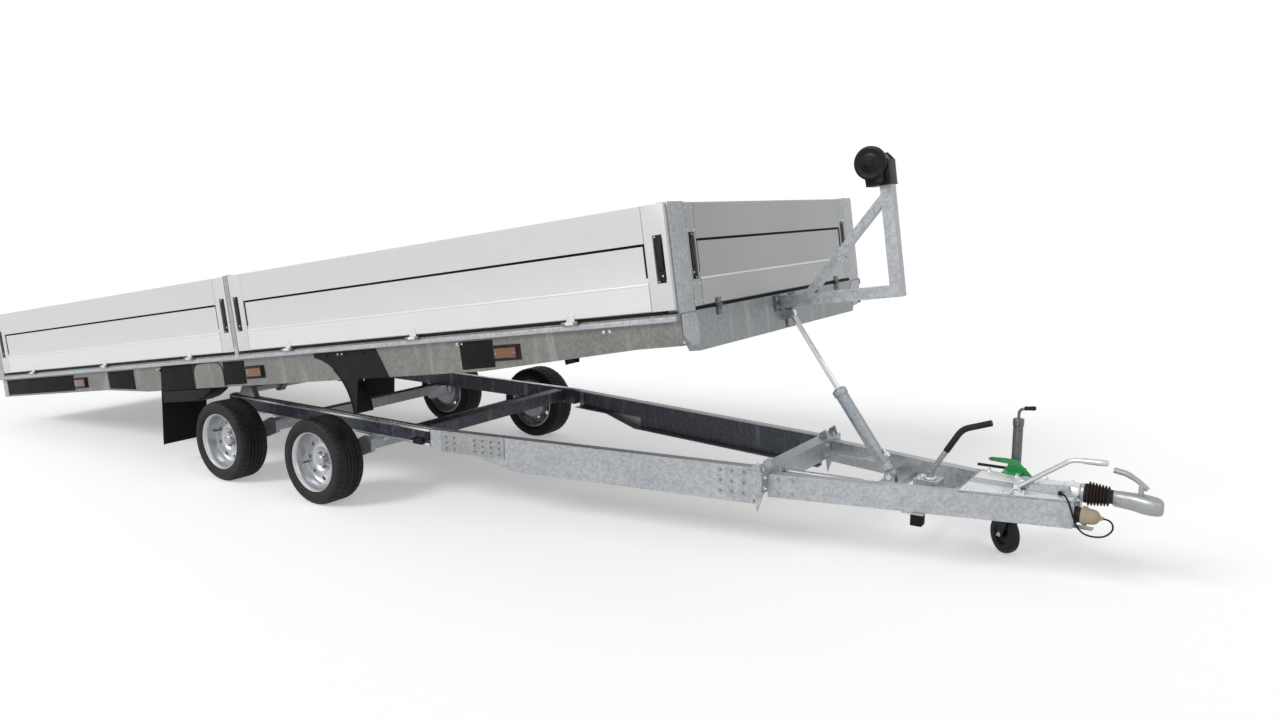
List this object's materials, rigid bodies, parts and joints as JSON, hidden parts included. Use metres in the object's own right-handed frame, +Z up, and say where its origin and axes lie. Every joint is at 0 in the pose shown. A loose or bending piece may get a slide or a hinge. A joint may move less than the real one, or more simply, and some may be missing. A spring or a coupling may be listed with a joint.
{
  "type": "car transporter trailer",
  "caption": "Tilting flat-bed car transporter trailer with aluminium dropsides, hydraulic ram, winch stand, overrun coupling and jockey wheel.",
  "frame": {"origin": "on the ground below the centre of the bounding box", "axes": "+X forward to the coupling along the length, +Y to the trailer's left, +Z up"},
  "size_m": [8.414, 2.22, 2.0592],
  "materials": {
    "galvanised": "hot-dip galvanised",
    "bed_aluminium": "brushed, slightly dull",
    "wood_floor": "phenolic faced plywood",
    "black_plastic": "grained",
    "flap_rubber": "matt",
    "tyre": "matt",
    "rim_silver": "silver lacquer",
    "chrome_rod": "polished",
    "green_paint": "gloss",
    "black_paint": "satin",
    "silver_casting": "zinc plated",
    "lamp_red": "clear gloss"
  },
  "bodies": {
    "chassis": {"axle_front": "galvanised", "axle_rear": "galvanised", "cross_front": "galvanised", "cross_mid": "galvanised", "pivot_tube": "galvanised", "ram_bracket": "galvanised", "pump": "black_paint", "pump_lever": "silver_casting", "overrun_housing": "galvanised", "bellows": "flap_rubber", "coupling_head": "silver_casting", "coupling_handle": "silver_casting", "handbrake_lever": "silver_casting", "jockey_clamp": "green_paint", "jockey_tube": "black_paint", "rail_L": "galvanised", "rail_R": "galvanised", "front_beam_L": "galvanised", "front_beam_R": "galvanised", "drawbar_L": "galvanised", "drawbar_R": "galvanised"},
    "jockey_leg": {"jockey_leg": "silver_casting"},
    "jockey_fork": {"jockey_fork": "silver_casting"},
    "jockey_wheel": {"jockey_wheel": "flap_rubber"},
    "ram_barrel": {"ram_barrel": "galvanised"},
    "ram_rod": {"ram_rod": "chrome_rod"},
    "bed": {"bed_front_beam": "galvanised", "bed_rear_beam": "galvanised", "underframe": "galvanised", "floor": "wood_floor", "front_board": "bed_aluminium", "winch_stand": "galvanised", "winch_body": "black_paint", "side_beam_L": "galvanised", "side_beam_R": "galvanised", "post_front_L": "galvanised", "post_front_R": "galvanised", "post_centre_L": "galvanised", "post_centre_R": "galvanised", "post_rear_L": "galvanised", "post_rear_R": "galvanised", "mudguard_L": "black_plastic", "mudguard_R": "black_plastic", "mud_flap_L": "flap_rubber", "mud_flap_R": "flap_rubber", "tail_lamp_L": "lamp_red", "tail_lamp_R": "lamp_red"},
    "tailboard": {"tailboard": "bed_aluminium"},
    "panel_front_L": {"panel_front_L": "bed_aluminium"},
    "wheel_front_L": {"tyre_front_L": "tyre", "rim_front_L": "rim_silver"},
    "panel_front_R": {"panel_front_R": "bed_aluminium"},
    "wheel_front_R": {"tyre_front_R": "tyre", "rim_front_R": "rim_silver"},
    "panel_rear_L": {"panel_rear_L": "bed_aluminium"},
    "wheel_rear_L": {"tyre_rear_L": "tyre", "rim_rear_L": "rim_silver"},
    "panel_rear_R": {"panel_rear_R": "bed_aluminium"},
    "wheel_rear_R": {"tyre_rear_R": "tyre", "rim_rear_R": "rim_silver"}
  },
  "joints": [
    {"name": "wheel_front_L_spin", "type": "hinge", "parent": "chassis", "child": "wheel_front_L", "pos_m": [-0.19365, 1.0125, 0.2625], "axis": [0, 1, 0], "continuous": true},
    {"name": "wheel_front_R_spin", "type": "hinge", "parent": "chassis", "child": "wheel_front_R", "pos_m": [-0.19365, -1.0125, 0.2625], "axis": [0, 1, 0], "continuous": true},
    {"name": "wheel_rear_L_spin", "type": "hinge", "parent": "chassis", "child": "wheel_rear_L", "pos_m": [-1.11364, 1.0125, 0.2625], "axis": [0, 1, 0], "continuous": true},
    {"name": "wheel_rear_R_spin", "type": "hinge", "parent": "chassis", "child": "wheel_rear_R", "pos_m": [-1.11364, -1.0125, 0.2625], "axis": [0, 1, 0], "continuous": true},
    {"name": "bed_tilt", "type": "hinge", "parent": "chassis", "child": "bed", "pos_m": [-1.34364, 0, 0.52], "axis": [0, -1, 0], "range_deg": [-8.1, 0]},
    {"name": "ram_barrel_swing", "type": "hinge", "parent": "chassis", "child": "ram_barrel", "pos_m": [2.96636, 0, 0.415], "axis": [0, -1, 0], "range_deg": [0, 27.5]},
    {"name": "ram_rod_slide", "type": "slide", "parent": "ram_barrel", "child": "ram_rod", "axis": [-0.5823, 0, 0.813], "range_m": [-0.41, 0]},
    {"name": "panel_front_L_hinge", "type": "hinge", "parent": "bed", "child": "panel_front_L", "pos_m": [-0.24246, 1.085, 0.94439], "axis": [-0.99, 0, -0.1409], "range_deg": [0, 172]},
    {"name": "panel_front_R_hinge", "type": "hinge", "parent": "bed", "child": "panel_front_R", "pos_m": [-0.24246, -1.085, 0.94439], "axis": [0.99, 0, 0.1409], "range_deg": [0, 172]},
    {"name": "panel_rear_L_hinge", "type": "hinge", "parent": "bed", "child": "panel_rear_L", "pos_m": [-0.24246, 1.085, 0.94439], "axis": [-0.99, 0, -0.1409], "range_deg": [0, 115]},
    {"name": "panel_rear_R_hinge", "type": "hinge", "parent": "bed", "child": "panel_rear_R", "pos_m": [-0.24246, -1.085, 0.94439], "axis": [0.99, 0, 0.1409], "range_deg": [0, 115]},
    {"name": "tailboard_hinge", "type": "hinge", "parent": "bed", "child": "tailboard", "pos_m": [-4.14711, 0, 0.38868], "axis": [0, -1, 0], "range_deg": [0, 125]},
    {"name": "jockey_height", "type": "slide", "parent": "chassis", "child": "jockey_leg", "axis": [0, 0, 1], "range_m": [0, 0.12]},
    {"name": "jockey_swivel", "type": "hinge", "parent": "jockey_leg", "child": "jockey_fork", "pos_m": [3.50636, 0.3, 0.2472], "axis": [0, 0, 1], "continuous": true},
    {"name": "jockey_wheel_spin", "type": "hinge", "parent": "jockey_fork", "child": "jockey_wheel", "pos_m": [3.46422, 0.33535, 0.1], "axis": [0.6428, 0.766, 0], "continuous": true}
  ],
  "couplings": [
    {"joint": "ram_barrel_swing", "follows": "bed_tilt", "ratio": -3.3738},
    {"joint": "ram_rod_slide", "follows": "bed_tilt", "m_per_rad": 2.8658}
  ]
}
